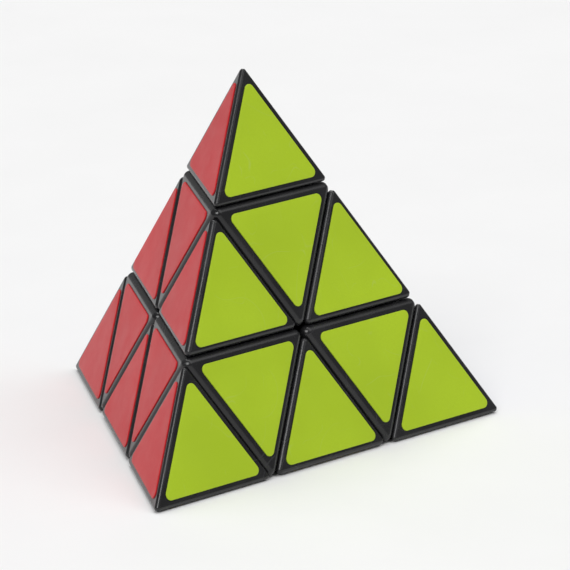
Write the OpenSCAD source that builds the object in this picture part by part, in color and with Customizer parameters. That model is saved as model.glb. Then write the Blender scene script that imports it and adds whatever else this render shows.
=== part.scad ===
// Pyramid twisty puzzle: a regular tetrahedron cut into four tips, four axials and six edges, which turn
// in layers round a ball core. The origin is the centre of the core, where all four turning axes meet.
// +Z runs up through the top tip, the green face looks towards -Y, and the yellow face is the base.

/* [Puzzle] */
// Edge length of the whole tetrahedron
edge_length = 98; // [94:1:104]
// Clear gap between neighbouring pieces
piece_gap = 0.3; // [0.2:0.05:0.4]

/* [Stickers] */
// Thickness of a sticker
sticker_thickness = 0.25; // [0.15:0.05:0.4]
// Black border between a sticker and each edge of its piece's face
sticker_border = 1.75; // [1.25:0.05:2.5]
// Radius of a sticker's three corners
sticker_corner = 1.2; // [0.6:0.1:2]

/* [Running track] */
// Plastic left between the track and the middle of a face
face_wall = 2.6; // [2.2:0.1:3]
// Depth of the edge feet, from the track down to the ball
foot_depth = 5.2; // [4.6:0.1:5.6]
// Width of the plug that joins an edge's foot to its cap
plug_width = 4.6; // [4:0.1:5]
// Length of that plug, along the inner edge of the cap
plug_length = 14; // [11:0.5:15]
// How far that plug reaches into the cap, past the track
plug_height = 4.6; // [3.5:0.1:5]

/* [Core and tension sets] */
// Radius of the four posts on the ball
post_radius = 2.4; // [2.2:0.05:2.5]
// Radial clearance of a turning fit
running_fit = 0.05; // [0.02:0.01:0.1]
// How far a post stands into its spring
post_reach = 0.8; // [0.4:0.1:1.5]
// Radius of a screw's shank
shank_radius = 1.1; // [1:0.05:1.2]
// Radius of a screw's head
head_radius = 2.5; // [2.2:0.1:2.8]
// Height of a screw's head
head_height = 1.7; // [1.4:0.1:1.8]
// Distance from the centre of the core to a screw's end
screw_end = 8; // [6:0.5:10]
// Thickness of a washer
washer_thickness = 0.5; // [0.4:0.1:0.6]
// Radius of a washer
washer_radius = 3.3; // [3.1:0.1:3.4]
// Length of a fitted spring
spring_length = 5.4; // [5:0.1:5.5]
// Radius from a spring's axis to the middle of its wire
spring_radius = 2.9; // [2.85:0.05:2.95]
// Diameter of the spring wire
wire_diameter = 0.6; // [0.5:0.05:0.6]
// Turns of wire in a spring
spring_turns = 4.5; // [3.5:0.5:5]

/* [Tip snap] */
// Radius of the hollow stub under a tip
stub_radius = 4.9; // [4.5:0.1:5]
// Wall of that stub
stub_wall = 1.6; // [1.4:0.1:1.8]
// Length of that stub below the tip's flat underside
stub_length = 5; // [4.8:0.1:5.2]
// How far the snap lip stands out from the stub
lip_depth = 0.6; // [0.4:0.1:0.8]
// Height of the snap lip
lip_height = 1; // [0.8:0.1:1.2]
// Width of the two slots that split the stub into four fingers
slot_width = 0.8; // [0.6:0.1:1]
// Depth of the bore that cores out a tip, above its underside
tip_bore_depth = 10.5; // [8:0.5:11]

/* [Hidden] */
$fn = 64;
height = edge_length * sqrt(2 / 3);
half_gap = piece_gap / 2;
overlap = 1;
big = 2 * edge_length;

// Distances from the centre of the core
face_distance = height / 4;
apex_distance = 3 * height / 4;
layer_cut = height / 12;
tip_cut = apex_distance - height / 3;
track_radius = face_distance - face_wall;
ball_radius = track_radius - foot_depth;
spring_seat = face_distance;
washer_seat = spring_seat + spring_length;
head_seat = washer_seat + washer_thickness;
head_top = head_seat + head_height;
tip_underside = tip_cut + half_gap;
stub_end = tip_underside - stub_length;
socket_floor = stub_end - piece_gap;

// Radii round a turning axis
sleeve_radius = post_radius + running_fit;
spring_bore = washer_radius + piece_gap;
socket_radius = stub_radius + running_fit;
lip_radius = stub_radius + lip_depth;
washer_play = 0.15;
washer_hole = shank_radius + washer_play;

// Snap lip and the groove that it turns in
lip_bottom = stub_end + lip_height;
groove_gap = 0.2;

// Small triangles of a face
triangle_inradius = edge_length * sqrt(3) / 18;
sticker_inradius = triangle_inradius - sticker_border;

// The four corners of the pyramid, and how far each axis leans from +Z and turns about it
TOP = 0;
LEFT = 1;
RIGHT = 2;
BACK = 3;
CORNERS = [TOP, LEFT, RIGHT, BACK];
corner_names = ["top", "left", "right", "back"];
lean = acos(-1 / 3);
leans = [0, lean, lean, lean];
turns = [30, 210, 330, 90];
function corner_direction(c) =
    [sin(leans[c]) * cos(turns[c]), sin(leans[c]) * sin(turns[c]), cos(leans[c])];
function corner_point(c) = apex_distance * corner_direction(c);
function others(taken) = [for (c = CORNERS) if (len(search(c, taken)) == 0) c];
EDGES = [for (a = CORNERS) for (b = CORNERS) if (a < b) [a, b]];

// Each face is named after the corner opposite to it
face_colours = ["yellow", "blue", "red", "green"];
sticker_paints = [[0.93, 0.83, 0.12], [0.1, 0.28, 0.68], [0.72, 0.1, 0.14], [0.6, 0.77, 0.2]];
black_plastic = [0.09, 0.09, 0.1];
inner_plastic = [0.16, 0.16, 0.17];

function edge_name(e) = str(corner_names[e[0]], "_", corner_names[e[1]]);
function tip_node(c) = str("tip_", corner_names[c]);
function axial_node(c) = str("axial_", corner_names[c]);
function cap_node(e) = str("edge_cap_", edge_name(e));
function foot_node(e) = str("edge_foot_", edge_name(e));
function sticker_node(face, piece) = str(face_colours[face], "_sticker_", piece);
function face_edges(face) = [for (e = EDGES) if (e[0] != face && e[1] != face) e];

// Turns +Z to the axis through a corner
module along(corner) rotate([0, leans[corner], turns[corner]]) children();

// Lays a child's X, Y and Z along three given directions, with its origin at a given point
module in_frame(x, y, z, at) {
    multmatrix([
        [x[0], y[0], z[0], at[0]],
        [x[1], y[1], z[1], at[1]],
        [x[2], y[2], z[2], at[2]],
        [0, 0, 0, 1]
    ]) children();
}

// All that lies more than a distance along a corner's axis, and all that lies less
module beyond(corner, distance) along(corner) translate([-big, -big, distance]) cube(2 * big);
module short_of(corner, distance) along(corner) translate([-big, -big, distance - 2 * big]) cube(2 * big);

// A round bar or bore on +Z between two distances from the centre
module bar(radius, from, to) translate([0, 0, from]) cylinder(r = radius, h = to - from);

// A ring on +Z between two radii and two distances from the centre
module ring(inner, outer, from, to) {
    difference() {
        bar(outer, from, to);
        bar(inner, from - overlap, to + overlap);
    }
}

// ---- Ball core ----

module core() {
    color(inner_plastic)
    difference() {
        union() {
            sphere(r = ball_radius - half_gap);
            for (c = CORNERS) along(c) bar(post_radius, 0, spring_seat + post_reach);
        }
        for (c = CORNERS) along(c) bar(shank_radius, screw_end, spring_seat + post_reach + overlap);
    }
}

// ---- Tension sets ----

module tension_screw() {
    cross_width = 0.8;
    cross_length = 3.2;
    cross_depth = 1;
    difference() {
        union() {
            bar(shank_radius, screw_end, head_seat + overlap);
            bar(head_radius, head_seat, head_top);
        }
        for (a = [0, 90]) rotate([0, 0, a])
            translate([-cross_length / 2, -cross_width / 2, head_top - cross_depth])
                cube([cross_length, cross_width, 2 * cross_depth]);
    }
}

module tension_screws() {
    color("silver")
    for (c = CORNERS) along(c) tension_screw();
}

module washers() {
    color("silver")
    for (c = CORNERS) along(c) ring(washer_hole, washer_radius, washer_seat, head_seat);
}

// A coil spring as one swept wire: rings of points round the helix, joined side by side
module spring() {
    sides = 6;
    steps_per_turn = 10;
    steps = round(spring_turns * steps_per_turn);
    wire_radius = wire_diameter / 2;
    end_gap = 0.05;
    low = spring_seat + wire_radius + end_gap;
    high = washer_seat - wire_radius - end_gap;
    points = [
        for (i = [0:steps]) let (turn = 360 * spring_turns * i / steps)
            for (s = [0:sides - 1]) let (a = 360 * s / sides, r = spring_radius + wire_radius * cos(a))
                [r * cos(turn), r * sin(turn), low + (high - low) * i / steps + wire_radius * sin(a)]
    ];
    walls = [
        for (i = [0:steps - 1]) for (s = [0:sides - 1])
            let (t = (s + 1) % sides, a = i * sides, b = a + sides)
                each [[a + s, b + s, b + t], [a + s, b + t, a + t]]
    ];
    first_cap = [for (s = [0:sides - 1]) s];
    last_cap = [for (s = [0:sides - 1]) (steps + 1) * sides - 1 - s];
    polyhedron(points = points, faces = concat(walls, [first_cap, last_cap]), convexity = 8);
}

module springs() {
    color("gainsboro")
    for (c = CORNERS) along(c) spring();
}

// ---- Tips ----

module tip(corner) {
    color(black_plastic)
    difference() {
        union() {
            intersection() {
                beyond(corner, tip_underside);
                intersection_for (c = others([corner])) beyond(c, -face_distance);
            }
            along(corner) {
                bar(stub_radius, stub_end, tip_underside + overlap);
                bar(lip_radius, lip_bottom, lip_bottom + lip_height);
            }
        }
        along(corner) {
            bar(stub_radius - stub_wall, stub_end - overlap, tip_underside + tip_bore_depth);
            for (a = [0, 90]) rotate([0, 0, a])
                translate([-big / 2, -slot_width / 2, stub_end - overlap])
                    cube([big, slot_width, tip_underside - stub_end + overlap - groove_gap]);
        }
    }
}

// ---- Axials ----

// The octahedron between a tip and the core, cut away inside the running track
module axial_shell(corner) {
    difference() {
        intersection() {
            beyond(corner, layer_cut + half_gap);
            short_of(corner, tip_cut - half_gap);
            intersection_for (c = others([corner])) beyond(c, -face_distance);
            intersection_for (c = others([corner])) short_of(c, layer_cut - half_gap);
        }
        sphere(r = track_radius + half_gap);
    }
}

// The three-sided stem that runs down between the edge feet to the ball
module axial_stem(corner) {
    difference() {
        intersection() {
            sphere(r = track_radius + overlap);
            intersection_for (c = others([corner])) short_of(c, -half_gap);
        }
        sphere(r = ball_radius + half_gap);
    }
}

module axial(corner) {
    color(black_plastic)
    difference() {
        union() {
            axial_shell(corner);
            axial_stem(corner);
        }
        along(corner) {
            bar(sleeve_radius, 0, spring_seat + overlap);
            bar(spring_bore, spring_seat, tip_cut);
            bar(socket_radius, socket_floor, tip_cut);
            bar(lip_radius + groove_gap, lip_bottom - groove_gap, lip_bottom + lip_height + groove_gap);
        }
    }
}

// ---- Edges ----

// X runs along the inner edge of the cap, Y across it and Z straight out through the middle of the piece
module in_edge_frame(e) {
    a = corner_direction(e[0]);
    b = corner_direction(e[1]);
    out = (a + b) / norm(a + b);
    across = (a - b) / norm(a - b);
    in_frame(cross(across, out), across, out, [0, 0, 0]) children();
}

module edge_plug(e, from, to) {
    in_edge_frame(e)
        translate([-plug_length / 2, -plug_width / 2, from])
            cube([plug_length, plug_width, to - from]);
}

module edge_cap(e) {
    pocket_size = 8;
    pocket_depth = 4;
    plug_end = track_radius + plug_height;
    color(black_plastic)
    difference() {
        intersection() {
            for_both(e, layer_cut + half_gap);
            intersection_for (c = others(e)) beyond(c, -face_distance);
        }
        sphere(r = track_radius + half_gap);
        edge_plug(e, 0, plug_end);
        in_edge_frame(e)
            translate([-pocket_size / 2, -plug_width / 2, plug_end - overlap])
                cube([pocket_size, plug_width, pocket_depth + overlap]);
    }
}

// All that lies more than a distance along both of an edge's axes
module for_both(e, distance) {
    intersection() {
        beyond(e[0], distance);
        beyond(e[1], distance);
    }
}

// The part of the foot that runs on the ball, under the two axials beside the edge
module foot_slider(e) {
    difference() {
        intersection() {
            sphere(r = track_radius - half_gap);
            for_both(e, half_gap);
            intersection_for (c = others(e)) short_of(c, -half_gap);
        }
        sphere(r = ball_radius + half_gap);
    }
}

// The collar on the slider that seats the cap
module foot_collar(e) {
    collar_margin = 1.2;
    difference() {
        intersection() {
            sphere(r = track_radius + half_gap);
            for_both(e, layer_cut + half_gap);
            in_edge_frame(e)
                translate([-plug_length / 2 - collar_margin, -big / 2, 0])
                    cube([plug_length + 2 * collar_margin, big, big]);
        }
        sphere(r = track_radius - overlap);
    }
}

module edge_foot(e) {
    plug_clearance = 0.1;
    color(inner_plastic)
    union() {
        foot_slider(e);
        foot_collar(e);
        edge_plug(e, track_radius - overlap, track_radius + plug_height - plug_clearance);
    }
}

// ---- Stickers ----

// A flat triangle with round corners, centred on the origin with one corner towards +X
module sticker_outline() {
    centre_distance = 2 * (sticker_inradius - sticker_corner);
    corner_angles = [0, 120, 240];
    function corner_centre(a) = centre_distance * [cos(a), sin(a)];
    function side_point(a, side) = corner_centre(a) + sticker_corner * [cos(a + side), sin(a + side)];
    polygon([for (a = corner_angles) for (side = [-60, 60]) side_point(a, side)]);
    for (a = corner_angles) translate(corner_centre(a)) circle(r = sticker_corner);
}

// A sticker on a face, on the small triangle with the given middle and one of its corners
module sticker(face, middle, towards) {
    out = -corner_direction(face);
    x = (towards - middle) / norm(towards - middle);
    color(sticker_paints[face])
    in_frame(x, cross(out, x), out, middle) linear_extrude(sticker_thickness) sticker_outline();
}

function face_middle(face) = -face_distance * corner_direction(face);

// A third of the way from one corner to another
function third(from, to) = (2 * corner_point(from) + corner_point(to)) / 3;

module tip_sticker(face, corner) {
    sides = others([face, corner]);
    middle = (corner_point(corner) + third(corner, sides[0]) + third(corner, sides[1])) / 3;
    sticker(face, middle, corner_point(corner));
}

module axial_sticker(face, corner) {
    sides = others([face, corner]);
    middle = (face_middle(face) + third(corner, sides[0]) + third(corner, sides[1])) / 3;
    sticker(face, middle, face_middle(face));
}

module edge_sticker(face, e) {
    middle = (face_middle(face) + third(e[0], e[1]) + third(e[1], e[0])) / 3;
    sticker(face, middle, face_middle(face));
}

// ---- Assembly ----

core();
tension_screws();
springs();
washers();
for (c = CORNERS) {
    tip(c);
    axial(c);
}
for (e = EDGES) {
    edge_cap(e);
    edge_foot(e);
}
for (f = CORNERS) {
    for (c = others([f])) {
        tip_sticker(f, c);
        axial_sticker(f, c);
    }
    for (e = face_edges(f))
        edge_sticker(f, e);
}
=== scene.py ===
"""Looks of the pyramid twisty puzzle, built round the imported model. Lengths are in metres."""

import math
from itertools import combinations

import bmesh
import bpy
from mathutils import Matrix, Vector


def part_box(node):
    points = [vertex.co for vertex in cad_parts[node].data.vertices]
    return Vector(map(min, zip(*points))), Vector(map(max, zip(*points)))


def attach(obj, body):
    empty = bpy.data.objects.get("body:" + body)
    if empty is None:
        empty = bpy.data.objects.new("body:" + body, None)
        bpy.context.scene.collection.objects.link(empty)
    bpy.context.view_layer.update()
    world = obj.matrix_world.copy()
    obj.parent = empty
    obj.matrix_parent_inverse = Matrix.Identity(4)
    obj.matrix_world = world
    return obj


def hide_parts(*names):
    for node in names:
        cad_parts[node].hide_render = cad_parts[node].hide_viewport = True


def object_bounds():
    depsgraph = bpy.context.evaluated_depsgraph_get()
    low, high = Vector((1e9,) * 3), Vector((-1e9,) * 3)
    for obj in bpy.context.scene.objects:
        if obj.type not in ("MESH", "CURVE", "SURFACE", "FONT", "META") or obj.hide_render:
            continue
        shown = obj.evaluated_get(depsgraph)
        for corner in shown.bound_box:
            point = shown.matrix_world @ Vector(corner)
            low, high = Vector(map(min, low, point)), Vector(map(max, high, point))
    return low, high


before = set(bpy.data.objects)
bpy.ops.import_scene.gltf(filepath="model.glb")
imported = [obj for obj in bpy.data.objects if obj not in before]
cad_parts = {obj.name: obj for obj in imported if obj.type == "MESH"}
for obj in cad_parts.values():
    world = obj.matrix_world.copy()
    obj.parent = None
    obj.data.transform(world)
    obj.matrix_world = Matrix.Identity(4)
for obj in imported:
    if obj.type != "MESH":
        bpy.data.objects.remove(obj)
cad_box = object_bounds()

MM = 0.001

# ---- Layout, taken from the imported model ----

# Each corner's axis: how far it leans from +Z, then its turn about +Z
LEAN = math.acos(-1 / 3)
AXES = {
    "top": (0, math.radians(30)),
    "left": (LEAN, math.radians(210)),
    "right": (LEAN, math.radians(330)),
    "back": (LEAN, math.radians(90)),
}
CORNERS = list(AXES)
EDGES = list(combinations(CORNERS, 2))
FIRST_EDGE = EDGES[0]
# Each face is opposite to a corner
FACE_COLOURS = {"top": "yellow", "left": "blue", "right": "red", "back": "green"}

FACE_DISTANCE = -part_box("axial_left")[0].z
APEX_DISTANCE = 3 * FACE_DISTANCE
LAYER_CUT = FACE_DISTANCE / 3
TIP_CUT = APEX_DISTANCE - 4 * FACE_DISTANCE / 3
HALF_GAP = TIP_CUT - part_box("axial_top")[1].z
# The springs draw the outer pieces together, so that their flat sides stand closer than their feet do
CLOSE_GAP = HALF_GAP / 2
STICKER_THICKNESS = -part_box("yellow_sticker_tip_left")[0].z - FACE_DISTANCE
PUZZLE_EDGE = 2 * math.sqrt(6) * FACE_DISTANCE

# ---- Sizes of the moulded pieces ----

FACE_WALL = 2.6 * MM
FOOT_DEPTH = 5.2 * MM
TRACK_RADIUS = FACE_DISTANCE - FACE_WALL
BALL_RADIUS = TRACK_RADIUS - FOOT_DEPTH
PLUG_SIZE = (14 * MM, 4.6 * MM)
PLUG_END = TRACK_RADIUS + 4.6 * MM

TIP_ROUNDING = 0.7 * MM
EDGE_ROUNDING = 0.95 * MM
AXIAL_ROUNDING = 1.5 * MM
FOOT_ROUNDING = 0.25 * MM

STICKER_BORDER = 1.75 * MM
STICKER_CORNER = 1.2 * MM
STICKER_RIM = 0.09 * MM
STICKER_CROWN = 0.03 * MM

# ---- Turned sizes, and places along an axis from the core outwards ----

RUNNING_FIT = 0.05 * MM
POST_RADIUS = 2.4 * MM
SHANK_RADIUS = 1.1 * MM
STUB_RADIUS = 4.9 * MM
STUB_LENGTH = 5 * MM
LIP_DEPTH = 0.6 * MM
LIP_HEIGHT = 1 * MM

SCREW_END = 8 * MM
POST_END = FACE_DISTANCE + 0.8 * MM
SPRING_SEAT = FACE_DISTANCE
WASHER_LOW = SPRING_SEAT + 5.4 * MM
HEAD_LOW = WASHER_LOW + 0.5 * MM
HEAD_HEIGHT = 1.7 * MM

WIRE_RADIUS = 0.3 * MM
SPRING_TURNS = 4.5

THREAD_ROOT = 0.86 * MM
THREAD_PITCH = 0.8 * MM
THREAD_TOP = FACE_DISTANCE + 1.5 * MM

# ---- Fineness of the meshes ----

ROUNDING_STEPS = 5
SMALL_ROUNDING_STEPS = 2
TURNING_STEPS = 72
BALL_STEPS = 96
SAME_POINT = 1e-7
# How far a tool reaches past the surface that it cuts or joins
OVERLAP = 1 * MM


def direction(corner):
    lean, turn = AXES[corner]
    return Vector((math.sin(lean) * math.cos(turn), math.sin(lean) * math.sin(turn), math.cos(lean)))


def along(corner):
    """Turns +Z to the axis through a corner."""
    lean, turn = AXES[corner]
    return Matrix.Rotation(turn, 4, "Z") @ Matrix.Rotation(lean, 4, "Y")


def frame_of(x, y, z, at=Vector()):
    turned = Matrix((x, y, z)).transposed().to_4x4()
    return Matrix.Translation(at) @ turned


def edge_frame(edge):
    """Z out through the middle of an edge piece, Y across it, X along its inner edge."""
    a, b = (direction(c) for c in edge)
    out, across = (a + b).normalized(), (a - b).normalized()
    return frame_of(across.cross(out), across, out)


def others(*taken):
    return [c for c in CORNERS if c not in taken]


def beyond(corner, distance):
    """The plane that keeps all that lies more than a distance along a corner's axis."""
    return (-direction(corner), -distance)


def short_of(corner, distance):
    return (direction(corner), distance)


# ---- Mesh tools ----

def new_object(name, mesh):
    piece = bpy.data.objects.new(name, mesh)
    bpy.context.scene.collection.objects.link(piece)
    return piece


def object_from(name, bm):
    mesh = bpy.data.meshes.new(name)
    bm.to_mesh(mesh)
    bm.free()
    return new_object(name, mesh)


def meeting_points(planes):
    """The corners of the convex solid inside a list of planes, each with the normals that meet there."""
    nearly_parallel = 1e-4
    found = []
    for trio in combinations(planes, 3):
        normals = Matrix([normal for normal, _ in trio])
        if abs(normals.determinant()) < nearly_parallel:
            continue
        point = normals.inverted() @ Vector([distance for _, distance in trio])
        if any(normal.dot(point) > distance + SAME_POINT for normal, distance in planes):
            continue
        found.append((point, [normal for normal, _ in trio]))
    return found


def rounded_solid(name, planes, radius, steps=ROUNDING_STEPS):
    """The convex solid inside a list of planes, with every edge and corner rounded to a radius."""
    flat_angle = math.radians(0.5)
    inner = [(normal, distance - radius) for normal, distance in planes]
    bm = bmesh.new()
    for point, (a, b, c) in meeting_points(inner):
        for i in range(steps + 1):
            for j in range(steps + 1 - i):
                k = steps - i - j
                bm.verts.new(point + radius * (i * a + j * b + k * c).normalized())
    bmesh.ops.remove_doubles(bm, verts=bm.verts, dist=SAME_POINT)
    hull = bmesh.ops.convex_hull(bm, input=bm.verts)
    bmesh.ops.delete(bm, geom=hull["geom_interior"], context="VERTS")
    bmesh.ops.dissolve_limit(bm, angle_limit=flat_angle, verts=bm.verts, edges=bm.edges)
    bmesh.ops.recalc_face_normals(bm, faces=bm.faces)
    return object_from(name, bm)


def lathe(name, profile, closed=False, steps=TURNING_STEPS):
    """Turns a profile of (radius, height) points round Z. A closed profile makes a ring."""
    bm = bmesh.new()
    rings = []
    for radius, height in profile:
        if radius == 0:
            rings.append([bm.verts.new((0, 0, height))] * steps)
            continue
        angles = [2 * math.pi * i / steps for i in range(steps)]
        rings.append([bm.verts.new((radius * math.cos(a), radius * math.sin(a), height)) for a in angles])
    pairs = list(zip(rings, rings[1:]))
    if closed:
        pairs.append((rings[-1], rings[0]))
    for low, high in pairs:
        for i in range(steps):
            j = (i + 1) % steps
            corners = list(dict.fromkeys([low[i], low[j], high[j], high[i]]))
            if len(corners) > 2:
                bm.faces.new(corners)
    bmesh.ops.recalc_face_normals(bm, faces=bm.faces)
    return object_from(name, bm)


def ball(radius):
    bm = bmesh.new()
    bmesh.ops.create_uvsphere(bm, u_segments=BALL_STEPS, v_segments=BALL_STEPS // 2, radius=radius)
    return object_from("ball", bm)


def block(size, low, high):
    """A box of a given X and Y size, centred on Z, between two heights."""
    bm = bmesh.new()
    bmesh.ops.create_cube(bm, size=1)
    place = Matrix.Translation((0, 0, (low + high) / 2)) @ Matrix.Diagonal((*size, high - low, 1))
    bmesh.ops.transform(bm, matrix=place, verts=bm.verts)
    return object_from("block", bm)


def moved(piece, matrix):
    piece.data.transform(matrix)
    return piece


def combine(piece, tool, how):
    """Applies an exact boolean of one piece with a tool, and removes the tool."""
    modifier = piece.modifiers.new("combine", "BOOLEAN")
    modifier.operation = how
    modifier.solver = "EXACT"
    modifier.object = tool
    seen = piece.evaluated_get(bpy.context.evaluated_depsgraph_get())
    result = bpy.data.meshes.new_from_object(seen)
    piece.modifiers.clear()
    piece.data = result
    bpy.data.objects.remove(tool)
    return piece


def join(piece, tool):
    return combine(piece, tool, "UNION")


def cut(piece, tool):
    return combine(piece, tool, "DIFFERENCE")


def keep(piece, tool):
    return combine(piece, tool, "INTERSECT")


def finish_mesh(piece, sharp=32):
    """Smooth shading that stays flat on flat faces and breaks at edges sharper than an angle in degrees."""
    sliver = 0.002 * MM
    mesh = piece.data
    bm = bmesh.new()
    bm.from_mesh(mesh)
    bmesh.ops.remove_doubles(bm, verts=bm.verts, dist=sliver)
    bmesh.ops.dissolve_degenerate(bm, edges=bm.edges, dist=sliver / 2)
    bm.to_mesh(mesh)
    bm.free()
    mesh.polygons.foreach_set("use_smooth", [True] * len(mesh.polygons))
    mesh.set_sharp_from_angle(angle=math.radians(sharp))
    weighted = piece.modifiers.new("flat faces", "WEIGHTED_NORMAL")
    weighted.keep_sharp = True
    return piece


# ---- Moulded pieces, made once for one corner or edge ----

def tip_moulding():
    """A tip on +Z: the small tetrahedron with its split snap stub."""
    underside = TIP_CUT + CLOSE_GAP
    stub_wall = 1.6 * MM
    slot_width = 0.8 * MM
    slot_length = 4 * STUB_RADIUS
    bore_depth = 10.5 * MM
    bore_end = underside + bore_depth
    lead = LIP_HEIGHT / 2
    stub_end = underside - STUB_LENGTH
    lip_low = stub_end + LIP_HEIGHT
    lip_high = lip_low + LIP_HEIGHT
    lip_radius = STUB_RADIUS + LIP_DEPTH
    planes = [beyond("top", underside)] + [beyond(c, -FACE_DISTANCE) for c in others("top")]
    tip = rounded_solid("tip", planes, TIP_ROUNDING)
    join(tip, lathe("stub", [
        (0, stub_end),
        (STUB_RADIUS - lead / 2, stub_end),
        (STUB_RADIUS, stub_end + lead),
        (STUB_RADIUS, lip_low),
        (lip_radius, lip_low + lead),
        (lip_radius, lip_high - lead / 2),
        (STUB_RADIUS, lip_high),
        (STUB_RADIUS, underside + lead),
        (0, underside + lead),
    ]))
    bore = STUB_RADIUS - stub_wall
    cut(tip, lathe("bore", [
        (0, stub_end - OVERLAP),
        (bore, stub_end - OVERLAP),
        (bore, bore_end - lead),
        (bore - lead, bore_end),
        (0, bore_end),
    ]))
    for size in ((slot_length, slot_width), (slot_width, slot_length)):
        cut(tip, block(size, stub_end - OVERLAP, underside - lead / 2))
    return tip


def axial_moulding():
    """An axial on +Z: the octahedron, its three-sided stem, and the stepped bore through both."""
    axial = axial_shell()
    join(axial, axial_stem())
    cut(axial, axial_bores())
    return axial


def axial_shell():
    """The octahedron, hollowed by the running track."""
    planes = [beyond("top", LAYER_CUT + CLOSE_GAP), short_of("top", TIP_CUT - CLOSE_GAP)]
    for c in others("top"):
        planes += [beyond(c, -FACE_DISTANCE), short_of(c, LAYER_CUT - CLOSE_GAP)]
    shell = rounded_solid("axial", planes, AXIAL_ROUNDING)
    return cut(shell, ball(TRACK_RADIUS + HALF_GAP))


def axial_stem():
    """The stem that runs down between the edge feet to the ball."""
    planes = [short_of(c, -HALF_GAP) for c in others("top")] + [short_of("top", TRACK_RADIUS + 2 * OVERLAP)]
    stem = rounded_solid("stem", planes, FOOT_ROUNDING, SMALL_ROUNDING_STEPS)
    keep(stem, ball(TRACK_RADIUS + OVERLAP))
    return cut(stem, ball(BALL_RADIUS + HALF_GAP))


def axial_bores():
    """The sleeve for the post, the spring's bore, and the socket and groove for the tip's stub."""
    top = TIP_CUT - CLOSE_GAP
    mouth = 0.3 * MM
    groove_gap = 0.2 * MM
    sleeve = POST_RADIUS + RUNNING_FIT
    spring_bore = 3.6 * MM
    socket = STUB_RADIUS + RUNNING_FIT
    groove = STUB_RADIUS + LIP_DEPTH + groove_gap
    stub_end = TIP_CUT + HALF_GAP - STUB_LENGTH
    socket_floor = stub_end - 2 * HALF_GAP
    groove_low = stub_end + LIP_HEIGHT - groove_gap
    groove_high = stub_end + 2 * LIP_HEIGHT + groove_gap
    return lathe("bores", [
        (0, 0),
        (sleeve, 0),
        (sleeve, SPRING_SEAT),
        (spring_bore, SPRING_SEAT),
        (spring_bore, socket_floor),
        (socket, socket_floor),
        (socket, groove_low),
        (groove, groove_low),
        (groove, groove_high),
        (socket, groove_high),
        (socket, top - mouth),
        (socket + 2 * mouth, top + mouth),
        (0, top + mouth),
    ])


def edge_cap_moulding():
    """The outer shell of the first edge, open on its inner side for the foot's plug."""
    pocket_size = (8 * MM, PLUG_SIZE[1])
    pocket_depth = 4 * MM
    planes = [beyond(c, LAYER_CUT + CLOSE_GAP) for c in FIRST_EDGE]
    planes += [beyond(c, -FACE_DISTANCE) for c in others(*FIRST_EDGE)]
    cap = rounded_solid("cap", planes, EDGE_ROUNDING)
    cut(cap, ball(TRACK_RADIUS + HALF_GAP))
    place = edge_frame(FIRST_EDGE)
    cut(cap, moved(block(PLUG_SIZE, 0, PLUG_END), place))
    cut(cap, moved(block(pocket_size, PLUG_END - OVERLAP, PLUG_END + pocket_depth), place))
    return cap


def edge_foot_moulding():
    """The foot of the first edge: a slider on the ball, the collar that seats the cap, and the plug."""
    place = edge_frame(FIRST_EDGE)
    along_edge, out = place.col[0].to_3d(), place.col[2].to_3d()
    collar_margin = 1.2 * MM
    collar_reach = PLUG_SIZE[0] / 2 + collar_margin
    plug_clearance = 0.1 * MM
    top = (out, TRACK_RADIUS + 2 * OVERLAP)
    sides = [beyond(c, HALF_GAP) for c in FIRST_EDGE] + [short_of(c, -HALF_GAP) for c in others(*FIRST_EDGE)]
    foot = rounded_solid("foot", sides + [top], FOOT_ROUNDING, SMALL_ROUNDING_STEPS)
    keep(foot, ball(TRACK_RADIUS - HALF_GAP))
    collar_sides = [beyond(c, LAYER_CUT + HALF_GAP) for c in FIRST_EDGE]
    collar_ends = [(along_edge, collar_reach), (-along_edge, collar_reach)]
    collar_planes = collar_sides + [top] + collar_ends
    collar = rounded_solid("collar", collar_planes, FOOT_ROUNDING / 2, SMALL_ROUNDING_STEPS)
    join(foot, keep(collar, ball(TRACK_RADIUS + HALF_GAP)))
    join(foot, moved(block(PLUG_SIZE, TRACK_RADIUS - OVERLAP, PLUG_END - plug_clearance), place))
    return cut(foot, ball(BALL_RADIUS + HALF_GAP))


def core_moulding():
    """The ball with its four drilled posts, the flash of its mould's parting line and its ejector marks."""
    radius = BALL_RADIUS - HALF_GAP
    core = join(ball(radius), parting_flash(radius))
    for c in CORNERS:
        cut(core, moved(ejector_mark(radius), along(c)))
        join(core, moved(post(radius / 2), along(c)))
        cut(core, moved(post_drilling(), along(c)))
    return core


def parting_flash(radius):
    """A fine ridge round the ball, in the plane through the top and back posts."""
    height = 0.05 * MM
    half_width = 0.3 * MM
    flash = lathe("flash", [
        (radius - height, -half_width),
        (radius + height, -half_width / 4),
        (radius + height, half_width / 4),
        (radius - height, half_width),
    ], closed=True, steps=2 * TURNING_STEPS)
    return moved(flash, Matrix.Rotation(math.radians(90), 4, "Y"))


def ejector_mark(radius):
    """A tool that sinks a shallow round mark into the ball, on the side away from a post on +Z."""
    mark_radius = 1.4 * MM
    depth = 0.2 * MM
    draft = 0.3 * MM
    return lathe("ejector mark", [
        (0, depth - radius),
        (mark_radius, depth - radius),
        (mark_radius + draft, -radius - OVERLAP),
        (0, -radius - OVERLAP),
    ])


def post(start):
    chamfer = 0.3 * MM
    return lathe("post", [
        (0, start),
        (POST_RADIUS, start),
        (POST_RADIUS, POST_END - chamfer),
        (POST_RADIUS - chamfer, POST_END),
        (0, POST_END),
    ])


def post_drilling():
    """A drill's shape: a pointed hole for the screw, countersunk at the end of the post."""
    countersink = 0.2 * MM
    return lathe("drilling", [
        (0, SCREW_END - SHANK_RADIUS / 2),
        (SHANK_RADIUS, SCREW_END),
        (SHANK_RADIUS, POST_END - countersink),
        (SHANK_RADIUS + 2 * countersink, POST_END + countersink),
        (0, POST_END + countersink),
    ])


# ---- Stickers ----

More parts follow.
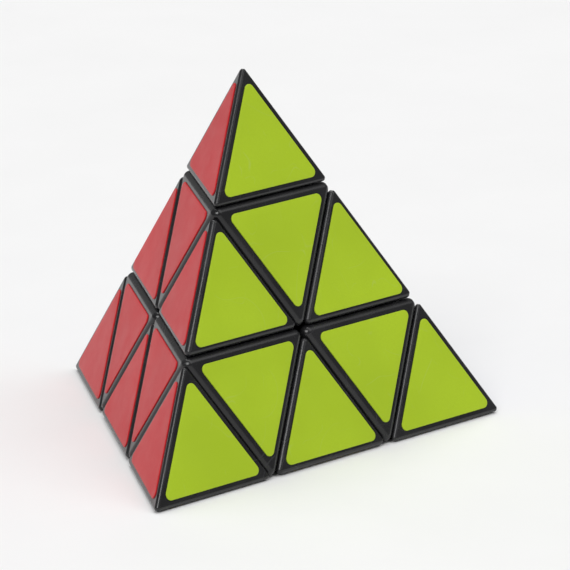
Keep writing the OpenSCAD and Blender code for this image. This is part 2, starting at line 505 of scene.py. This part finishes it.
def sticker_outline(inset, arc_steps=10):
    """Points round the sticker triangle, drawn in by an inset, one corner towards +X."""
    small_triangle_inradius = PUZZLE_EDGE * math.sqrt(3) / 18
    inradius = small_triangle_inradius - STICKER_BORDER
    corner_distance = 2 * (inradius - STICKER_CORNER)
    radius = STICKER_CORNER - inset
    points = []
    for corner in (0, 120, 240):
        centre = Vector((math.cos(math.radians(corner)), math.sin(math.radians(corner)))) * corner_distance
        for step in range(arc_steps + 1):
            angle = math.radians(corner - 60 + 120 * step / arc_steps)
            points.append(centre + radius * Vector((math.cos(angle), math.sin(angle))))
    return points


def sticker_mesh():
    """A vinyl triangle with a rounded rim and a top that is crowned by a few hundredths of a millimetre."""
    rim_steps = 3
    crown_steps = 4
    crown_width = 0.8 * STICKER_CORNER
    rim_low = STICKER_THICKNESS - STICKER_CROWN - STICKER_RIM
    levels = [(0, 0), (0, rim_low)]
    for step in range(1, rim_steps + 1):
        angle = math.radians(90 * step / rim_steps)
        levels.append((STICKER_RIM * (1 - math.cos(angle)), rim_low + STICKER_RIM * math.sin(angle)))
    for step in range(1, crown_steps + 1):
        rise = STICKER_CROWN * math.sin(math.radians(90 * step / crown_steps))
        levels.append((STICKER_RIM + crown_width * step / crown_steps, rim_low + STICKER_RIM + rise))
    bm = bmesh.new()
    rings = [[bm.verts.new((*p, height)) for p in sticker_outline(inset)] for inset, height in levels]
    count = len(rings[0])
    for low, high in zip(rings, rings[1:]):
        for i in range(count):
            j = (i + 1) % count
            bm.faces.new([low[i], low[j], high[j], high[i]])
    bm.faces.new(rings[-1])
    bm.faces.new(list(reversed(rings[0])))
    mesh = bpy.data.meshes.new("sticker")
    bm.to_mesh(mesh)
    bm.free()
    return mesh


def third(start, end):
    """A third of the way from one corner of the pyramid to another."""
    return APEX_DISTANCE * (2 * direction(start) + direction(end)) / 3


def face_middle(face):
    return -FACE_DISTANCE * direction(face)


def tip_triangle(face, corner):
    """The middle of a tip's triangle on a face, and the point that its first corner is towards."""
    point = APEX_DISTANCE * direction(corner)
    first, second = (third(corner, c) for c in others(face, corner))
    return (point + first + second) / 3, point


def axial_triangle(face, corner):
    first, second = (third(corner, c) for c in others(face, corner))
    return (face_middle(face) + first + second) / 3, face_middle(face)


def edge_triangle(face, a, b):
    return (face_middle(face) + third(a, b) + third(b, a)) / 3, face_middle(face)


def sticker_place(face, middle, towards):
    out = -direction(face)
    x = (towards - middle).normalized()
    return frame_of(x, out.cross(x), out, middle)


# ---- Metal parts ----

def wire_height(turn):
    """How high a spring's wire lies after some turns: close wound at both ends, and open between them."""
    play = 0.05 * MM
    closed_turns = 0.75
    low, high = SPRING_SEAT + play + WIRE_RADIUS, WASHER_LOW - play - WIRE_RADIUS
    end = 2 * WIRE_RADIUS / (high - low) * closed_turns
    if turn < closed_turns:
        share = end * turn / closed_turns
    elif turn > SPRING_TURNS - closed_turns:
        share = 1 - end * (SPRING_TURNS - turn) / closed_turns
    else:
        share = end + (1 - 2 * end) * (turn - closed_turns) / (SPRING_TURNS - 2 * closed_turns)
    return low + (high - low) * share


def spring_coil():
    """A compression spring on +Z whose end turns lie close and flat."""
    coil_radius = 2.9 * MM
    steps_per_turn = 40
    wire_sides = 12
    steps = int(SPRING_TURNS * steps_per_turn)
    bm = bmesh.new()
    rings = []
    for i in range(steps + 1):
        turn = SPRING_TURNS * i / steps
        angle = 2 * math.pi * turn
        ring = []
        for s in range(wire_sides):
            round_wire = 2 * math.pi * s / wire_sides
            r = coil_radius + WIRE_RADIUS * math.cos(round_wire)
            z = wire_height(turn) + WIRE_RADIUS * math.sin(round_wire)
            ring.append(bm.verts.new((r * math.cos(angle), r * math.sin(angle), z)))
        rings.append(ring)
    for a, b in zip(rings, rings[1:]):
        for s in range(wire_sides):
            t = (s + 1) % wire_sides
            bm.faces.new([a[s], b[s], b[t], a[t]])
    bm.faces.new(list(reversed(rings[0])))
    bm.faces.new(rings[-1])
    bmesh.ops.recalc_face_normals(bm, faces=bm.faces)
    return object_from("coil", bm)


def thread_radius(angle, z):
    """A rolled thread: a ridge that climbs one pitch for each turn, and fades out towards the point."""
    crest_width = 1.25
    point_length = 1.2 * MM
    phase = (z / THREAD_PITCH - angle / (2 * math.pi)) % 1
    ridge = 1 - abs(2 * phase - 1)
    radius = THREAD_ROOT + (SHANK_RADIUS - THREAD_ROOT) * min(1, crest_width * ridge)
    return radius * min(1, (z - SCREW_END) / point_length)


def head_profile():
    """The plain neck above the thread and the domed head, as (radius, height) points."""
    thread_runout = 0.2 * MM
    head_radius = 2.5 * MM
    head_flank = 0.7 * MM
    dome_turn = math.radians(78)
    dome_narrowing = 0.35
    dome_steps = 6
    profile = [
        (THREAD_ROOT, THREAD_TOP + thread_runout),
        (SHANK_RADIUS, THREAD_TOP + 2 * thread_runout),
        (SHANK_RADIUS, HEAD_LOW),
        (head_radius, HEAD_LOW),
    ]
    for step in range(dome_steps + 1):
        angle = dome_turn * step / dome_steps
        rise = (HEAD_HEIGHT - head_flank) * math.sin(angle) / math.sin(dome_turn)
        narrowed = head_radius * (1 - dome_narrowing * (1 - math.cos(angle)))
        profile.append((narrowed, HEAD_LOW + head_flank + rise))
    return profile


def threaded_screw():
    """A pan-head screw on +Z with a rolled thread and a cross recess."""
    around = 24
    rows_per_pitch = 8
    recess_length = 3 * MM
    recess_width = 0.8 * MM
    recess_depth = 1 * MM
    bm = bmesh.new()

    def ring(radius_at, z):
        angles = [2 * math.pi * i / around for i in range(around)]
        return [bm.verts.new((radius_at(a) * math.cos(a), radius_at(a) * math.sin(a), z)) for a in angles]

    point = bm.verts.new((0, 0, SCREW_END))
    rows = int((THREAD_TOP - SCREW_END) / THREAD_PITCH * rows_per_pitch)
    rings = []
    for row in range(1, rows + 1):
        z = SCREW_END + (THREAD_TOP - SCREW_END) * row / rows
        rings.append(ring(lambda angle: thread_radius(angle, z), z))
    for radius, z in head_profile():
        rings.append(ring(lambda angle: radius, z))
    for low, high in zip(rings, rings[1:]):
        for i in range(around):
            j = (i + 1) % around
            bm.faces.new([low[i], low[j], high[j], high[i]])
    for i in range(around):
        bm.faces.new([point, rings[0][(i + 1) % around], rings[0][i]])
    bm.faces.new(rings[-1])
    bmesh.ops.recalc_face_normals(bm, faces=bm.faces)
    screw = object_from("screw", bm)
    top = HEAD_LOW + HEAD_HEIGHT
    for size in ((recess_length, recess_width), (recess_width, recess_length)):
        cut(screw, block(size, top - recess_depth, top + OVERLAP))
    return screw


def pressed_washer():
    inner, outer = 1.25 * MM, 3.3 * MM
    low, high = WASHER_LOW, HEAD_LOW
    roll = 0.12 * MM
    return lathe("washer", [
        (inner, low + roll),
        (inner + roll, low),
        (outer - roll, low),
        (outer, low + roll),
        (outer, high - roll),
        (outer - roll, high),
        (inner + roll, high),
        (inner, high - roll),
    ], closed=True)


def one_on_each_axis(name, maker):
    """Four copies of a part, one on each corner's axis, as one object."""
    source = maker()
    bm = bmesh.new()
    for corner in CORNERS:
        copy = source.data.copy()
        copy.transform(along(corner))
        bm.from_mesh(copy)
        bpy.data.meshes.remove(copy)
    bpy.data.objects.remove(source)
    return object_from(name, bm)


# ---- Materials ----

class Nodes:
    """Short ways to add and link the shader nodes of one material."""

    def __init__(self, name):
        self.material = bpy.data.materials.new(name)
        self.material.use_nodes = True
        self.tree = self.material.node_tree
        self.shader = self.tree.nodes["Principled BSDF"]
        self.place = self.add("ShaderNodeTexCoord").outputs["Object"]

    def add(self, kind, **values):
        node = self.tree.nodes.new(kind)
        for key, value in values.items():
            setattr(node, key, value)
        return node

    def link(self, source, target):
        self.tree.links.new(source, target)

    def noise(self, scale, detail=4, roughness=0.55, stretch=(1, 1, 1)):
        """Noise of about the given features per metre, drawn out along the axes whose stretch is under 1."""
        mapping = self.add("ShaderNodeMapping")
        mapping.inputs["Scale"].default_value = stretch
        self.link(self.place, mapping.inputs["Vector"])
        node = self.add("ShaderNodeTexNoise")
        node.inputs["Scale"].default_value = scale
        node.inputs["Detail"].default_value = detail
        node.inputs["Roughness"].default_value = roughness
        self.link(mapping.outputs["Vector"], node.inputs["Vector"])
        return node.outputs["Fac"]

    def remap(self, source, low, high, to_low, to_high):
        """Takes the values from low to high over to those from to_low to to_high, and clips the rest."""
        node = self.add("ShaderNodeMapRange")
        node.inputs["From Min"].default_value = low
        node.inputs["From Max"].default_value = high
        node.inputs["To Min"].default_value = to_low
        node.inputs["To Max"].default_value = to_high
        self.link(source, node.inputs["Value"])
        return node.outputs["Result"]

    def blend(self, share, first, second):
        """A colour between two, each a socket or an RGB triple."""
        node = self.add("ShaderNodeMix", data_type="RGBA")
        self.link(share, node.inputs["Factor"])
        for name, colour in (("A", first), ("B", second)):
            socket = [s for s in node.inputs if s.name == name and s.type == "RGBA"][0]
            if isinstance(colour, tuple):
                socket.default_value = (*colour, 1)
            else:
                self.link(colour, socket)
        return [s for s in node.outputs if s.type == "RGBA"][0]

    def sum(self, first, second, operation="ADD"):
        node = self.add("ShaderNodeMath", operation=operation)
        self.link(first, node.inputs[0])
        self.link(second, node.inputs[1])
        return node.outputs[0]

    def bump(self, *layers):
        """Stacks bump layers, each (height socket, depth in metres)."""
        normal = None
        for height, depth in layers:
            node = self.add("ShaderNodeBump")
            node.inputs["Strength"].default_value = 1
            node.inputs["Distance"].default_value = depth
            self.link(height, node.inputs["Height"])
            if normal:
                self.link(normal, node.inputs["Normal"])
            normal = node.outputs["Normal"]
        self.link(normal, self.shader.inputs["Normal"])

    def set(self, **sockets):
        for name, value in sockets.items():
            self.shader.inputs[name.replace("_", " ")].default_value = value


def scaled(colour, factor):
    return tuple(min(1, c * factor) for c in colour)


def hairlines(m, *runs):
    """Long, thin, wandering scratches, each run (features per metre, width) broken into patches.

    A scratch follows the line where a slow noise crosses its middle value. The noise changes by about one
    over a feature, so width times features is how far it strays across a scratch.
    """
    middle = 0.5
    patch_fineness = 1.7
    patch_edge = (0.52, 0.6)
    total = None
    for features, width in runs:
        wander = m.noise(features, 0)
        centred = m.add("ShaderNodeMath", operation="SUBTRACT")
        centred.inputs[1].default_value = middle
        m.link(wander, centred.inputs[0])
        off_line = m.add("ShaderNodeMath", operation="ABSOLUTE")
        m.link(centred.outputs[0], off_line.inputs[0])
        line = m.remap(off_line.outputs[0], width * features / 3, width * features, 1, 0)
        patch = m.remap(m.noise(patch_fineness * features, 1), *patch_edge, 0, 1)
        run = m.sum(line, patch, "MULTIPLY")
        total = m.sum(total, run, "MAXIMUM") if total else run
    return total


def moulded_plastic(name, colour, gloss):
    """Injection-moulded plastic: faint mottle, a fine skin, hairlines, and edges a little lighter, partly
    rubbed and partly a painted highlight.
    """
    m = Nodes(name)
    mottle = m.noise(scale=140, detail=5)
    smudge = m.noise(scale=70, detail=3, roughness=0.6)
    skin = m.noise(scale=2600, detail=3, roughness=0.5)
    swell = m.noise(scale=320, detail=2)
    lines = hairlines(m, (95, 0.05 * MM), (160, 0.04 * MM))
    edge = m.add("ShaderNodeNewGeometry").outputs["Pointiness"]
    uneven_edge = m.sum(edge, m.remap(mottle, 0.3, 0.7, -0.02, 0.02))
    # Convex edges are painted lighter: partly rubbed wear, partly a painted highlight where the bevels catch
    # the light
    rubbed_and_highlit = m.remap(uneven_edge, 0.54, 0.66, 0, 1)
    body = m.blend(m.remap(mottle, 0.35, 0.65, 0, 1), scaled(colour, 0.8), scaled(colour, 1.25))
    body = m.blend(m.remap(lines, 0, 1, 0, 0.35), body, scaled(colour, 3))
    body = m.blend(m.remap(rubbed_and_highlit, 0, 1, 0, 0.5), body, scaled(colour, 3.2))
    m.link(body, m.shader.inputs["Base Color"])
    rough = m.remap(smudge, 0.35, 0.7, gloss, gloss + 0.09)
    rough = m.sum(rough, m.remap(lines, 0, 1, 0, 0.12))
    rough = m.sum(rough, m.remap(rubbed_and_highlit, 0, 1, 0, 0.06))
    m.link(rough, m.shader.inputs["Roughness"])
    m.bump((skin, 0.004 * MM), (swell, 0.012 * MM), (lines, -0.002 * MM))
    m.set(IOR=1.52, Specular_IOR_Level=0.42)
    return m.material


def vinyl(name, colour):
    """Printed vinyl film: even colour, orange-peel skin, slow waves from the glue, and faint rubbing."""
    m = Nodes(name)
    waves = m.noise(scale=55, detail=2, roughness=0.4)
    peel = m.noise(scale=900, detail=3, roughness=0.5)
    grain = m.noise(scale=5200, detail=2, roughness=0.5)
    rub = m.noise(scale=120, detail=6, roughness=0.7)
    lines = hairlines(m, (60, 0.05 * MM), (105, 0.04 * MM), (170, 0.03 * MM))
    scuffed = tuple(0.75 * c + 0.12 for c in colour)
    body = m.blend(m.remap(waves, 0.3, 0.7, 0, 1), scaled(colour, 0.93), scaled(colour, 1.05))
    body = m.blend(m.remap(grain, 0.35, 0.65, 0, 0.5), body, scaled(colour, 0.9))
    body = m.blend(m.remap(lines, 0, 1, 0, 0.25), body, scuffed)
    m.link(body, m.shader.inputs["Base Color"])
    rough = m.sum(m.remap(rub, 0.3, 0.75, 0.34, 0.46), m.remap(lines, 0, 1, 0, 0.08))
    m.link(rough, m.shader.inputs["Roughness"])
    m.bump((waves, 0.1 * MM), (peel, 0.006 * MM), (grain, 0.001 * MM))
    m.set(IOR=1.5, Specular_IOR_Level=0.3)
    return m.material


def steel(name, colour, gloss, yellowing=0.0):
    """Plated steel: fine brushing, cloudy plating and small dark stains."""
    m = Nodes(name)
    brushing = m.noise(scale=3000, detail=3, roughness=0.5, stretch=(1, 1, 0.05))
    cloud = m.noise(scale=600)
    stain = m.remap(m.noise(scale=260, detail=5, roughness=0.7), 0.62, 0.75, 0, 1)
    red, green, blue = colour
    warm = (1.05 * red, green, (0.95 - yellowing) * blue)
    body = m.blend(m.remap(cloud, 0.3, 0.7, 0, 1), colour, warm)
    body = m.blend(m.remap(stain, 0, 1, 0, 0.5), body, scaled(colour, 0.45))
    m.link(body, m.shader.inputs["Base Color"])
    rough = m.sum(m.remap(brushing, 0.3, 0.7, gloss, gloss + 0.15), m.remap(stain, 0, 1, 0, 0.2))
    m.link(rough, m.shader.inputs["Roughness"])
    m.bump((brushing, 0.003 * MM), (cloud, 0.004 * MM))
    m.set(Metallic=1)
    return m.material


def floor_paper():
    m = Nodes("floor_paper")
    cloud = m.noise(scale=30, detail=3)
    m.link(m.blend(cloud, (0.84, 0.84, 0.84), (0.88, 0.88, 0.88)), m.shader.inputs["Base Color"])
    m.set(Roughness=0.7)
    return m.material


BLACK = moulded_plastic("moulded_black", (0.01, 0.01, 0.011), gloss=0.2)
INNER = moulded_plastic("moulded_inner", (0.028, 0.028, 0.031), gloss=0.38)
VINYLS = {
    "green": vinyl("green_film", (0.4, 0.56, 0.018)),
    "red": vinyl("red_film", (0.58, 0.008, 0.014)),
    "blue": vinyl("blue_film", (0.006, 0.07, 0.42)),
    "yellow": vinyl("yellow_film", (0.85, 0.62, 0.012)),
}
SCREW_STEEL = steel("zinc_plate", (0.6, 0.6, 0.58), gloss=0.22, yellowing=0.06)
SPRING_STEEL = steel("bright_wire", (0.5, 0.5, 0.51), gloss=0.18)
WASHER_STEEL = steel("rolled_sheet", (0.62, 0.62, 0.62), gloss=0.25)


def dress(piece, material, body, node):
    """Gives a piece its material and the body it rides on, and hides the CAD node that it stands for."""
    piece.data.materials.clear()
    piece.data.materials.append(material)
    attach(piece, body)
    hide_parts(node)


def place_copies(source, places):
    """Copies of a moulding, one for each (name, matrix)."""
    copies = []
    for name, matrix in places:
        piece = new_object(name, source.data.copy())
        moved(piece, matrix)
        copies.append(finish_mesh(piece))
    bpy.data.objects.remove(source)
    return copies


def corner_places(kind):
    return [(f"{kind}_{c}_moulding", along(c) @ along("top").inverted()) for c in CORNERS]


def edge_places(kind):
    home = edge_frame(FIRST_EDGE).inverted()
    return [(f"{kind}_{a}_{b}_moulding", edge_frame((a, b)) @ home) for a, b in EDGES]


def add_sticker(source, face, part, triangle):
    colour = FACE_COLOURS[face]
    node = f"{colour}_sticker_{part}"
    piece = new_object(f"{node}_film", source.copy())
    moved(piece, sticker_place(face, *triangle))
    finish_mesh(piece, sharp=40)
    dress(piece, VINYLS[colour], part, node)


# ---- Assembly ----

core = core_moulding()
core.name = "core_moulding"
dress(finish_mesh(core), INNER, "core", "core")

for corner, tip in zip(CORNERS, place_copies(tip_moulding(), corner_places("tip"))):
    dress(tip, BLACK, f"tip_{corner}", f"tip_{corner}")
for corner, axial in zip(CORNERS, place_copies(axial_moulding(), corner_places("axial"))):
    dress(axial, BLACK, f"axial_{corner}", f"axial_{corner}")
for (a, b), cap in zip(EDGES, place_copies(edge_cap_moulding(), edge_places("edge_cap"))):
    dress(cap, BLACK, f"edge_{a}_{b}", f"edge_cap_{a}_{b}")
for (a, b), foot in zip(EDGES, place_copies(edge_foot_moulding(), edge_places("edge_foot"))):
    dress(foot, INNER, f"edge_{a}_{b}", f"edge_foot_{a}_{b}")

film = sticker_mesh()
for face in CORNERS:
    for corner in others(face):
        add_sticker(film, face, f"tip_{corner}", tip_triangle(face, corner))
        add_sticker(film, face, f"axial_{corner}", axial_triangle(face, corner))
    for a, b in EDGES:
        if face not in (a, b):
            add_sticker(film, face, f"edge_{a}_{b}", edge_triangle(face, a, b))

for name, maker, material, slot, node in (
    ("springs_wound", spring_coil, SPRING_STEEL, "spring_steel", "springs"),
    ("tension_screws_threaded", threaded_screw, SCREW_STEEL, "screw_steel", "tension_screws"),
    ("washers_pressed", pressed_washer, WASHER_STEEL, "washer_steel", "washers"),
):
    part = finish_mesh(one_on_each_axis(name, maker))
    dress(part, material, "core", node)


# ---- Floor, lights and camera ----

def floor():
    """A pale, flat sheet under the puzzle, wide enough to fill the view."""
    half_width = 6
    bm = bmesh.new()
    bmesh.ops.create_grid(bm, x_segments=8, y_segments=8, size=half_width)
    bmesh.ops.translate(bm, verts=bm.verts, vec=(0, 0, cad_box[0].z))
    piece = object_from("floor", bm)
    piece.data.materials.append(floor_paper())


def from_around(azimuth, elevation):
    """The direction out to a compass point round the puzzle: 0 is in front, positive is to the right."""
    a, e = math.radians(azimuth), math.radians(elevation)
    return Vector((math.sin(a) * math.cos(e), -math.cos(a) * math.cos(e), math.sin(e)))


def facing_puzzle(name, data, back, at):
    item = bpy.data.objects.new(name, data)
    item.location = at
    item.rotation_euler = back.to_track_quat("Z", "Y").to_euler()
    bpy.context.scene.collection.objects.link(item)
    return item


def soft_light(name, azimuth, elevation, strength, spread):
    """A distant soft panel, as wide as an angle seen from the puzzle, so that the floor is lit evenly."""
    data = bpy.data.lights.new(name, "SUN")
    data.energy = strength
    data.angle = math.radians(spread)
    back = from_around(azimuth, elevation)
    facing_puzzle(name, data, back, back)


def camera(azimuth, elevation, distance, lens):
    """A camera that looks at the middle of the puzzle's outline, through a lens given in millimetres."""
    back = from_around(azimuth, elevation)
    turned = back.to_track_quat("Z", "Y")
    right, up = turned @ Vector((1, 0, 0)), turned @ Vector((0, 1, 0))
    points = [APEX_DISTANCE * direction(c) for c in CORNERS]
    aim = Vector()
    for side in (right, up):
        reach = [side.dot(p) for p in points]
        aim += side * (min(reach) + max(reach)) / 2
    data = bpy.data.cameras.new("camera")
    data.lens = lens
    data.clip_start = 10 * MM
    bpy.context.scene.camera = facing_puzzle("camera", data, back, aim + back * distance)


def surround(strength):
    """Even white light from all round."""
    world = bpy.data.worlds.new("studio")
    world.use_nodes = True
    background = world.node_tree.nodes["Background"]
    background.inputs["Color"].default_value = (1, 1, 1, 1)
    background.inputs["Strength"].default_value = strength
    bpy.context.scene.world = world


floor()
surround(strength=0.25)
soft_light("overhead", azimuth=150, elevation=70, strength=1.2, spread=40)
soft_light("key", azimuth=-62, elevation=40, strength=1.4, spread=28)
soft_light("fill", azimuth=30, elevation=55, strength=0.8, spread=50)
bpy.context.scene.view_settings.view_transform = "Standard"
camera(azimuth=-42, elevation=17, distance=1, lens=300)
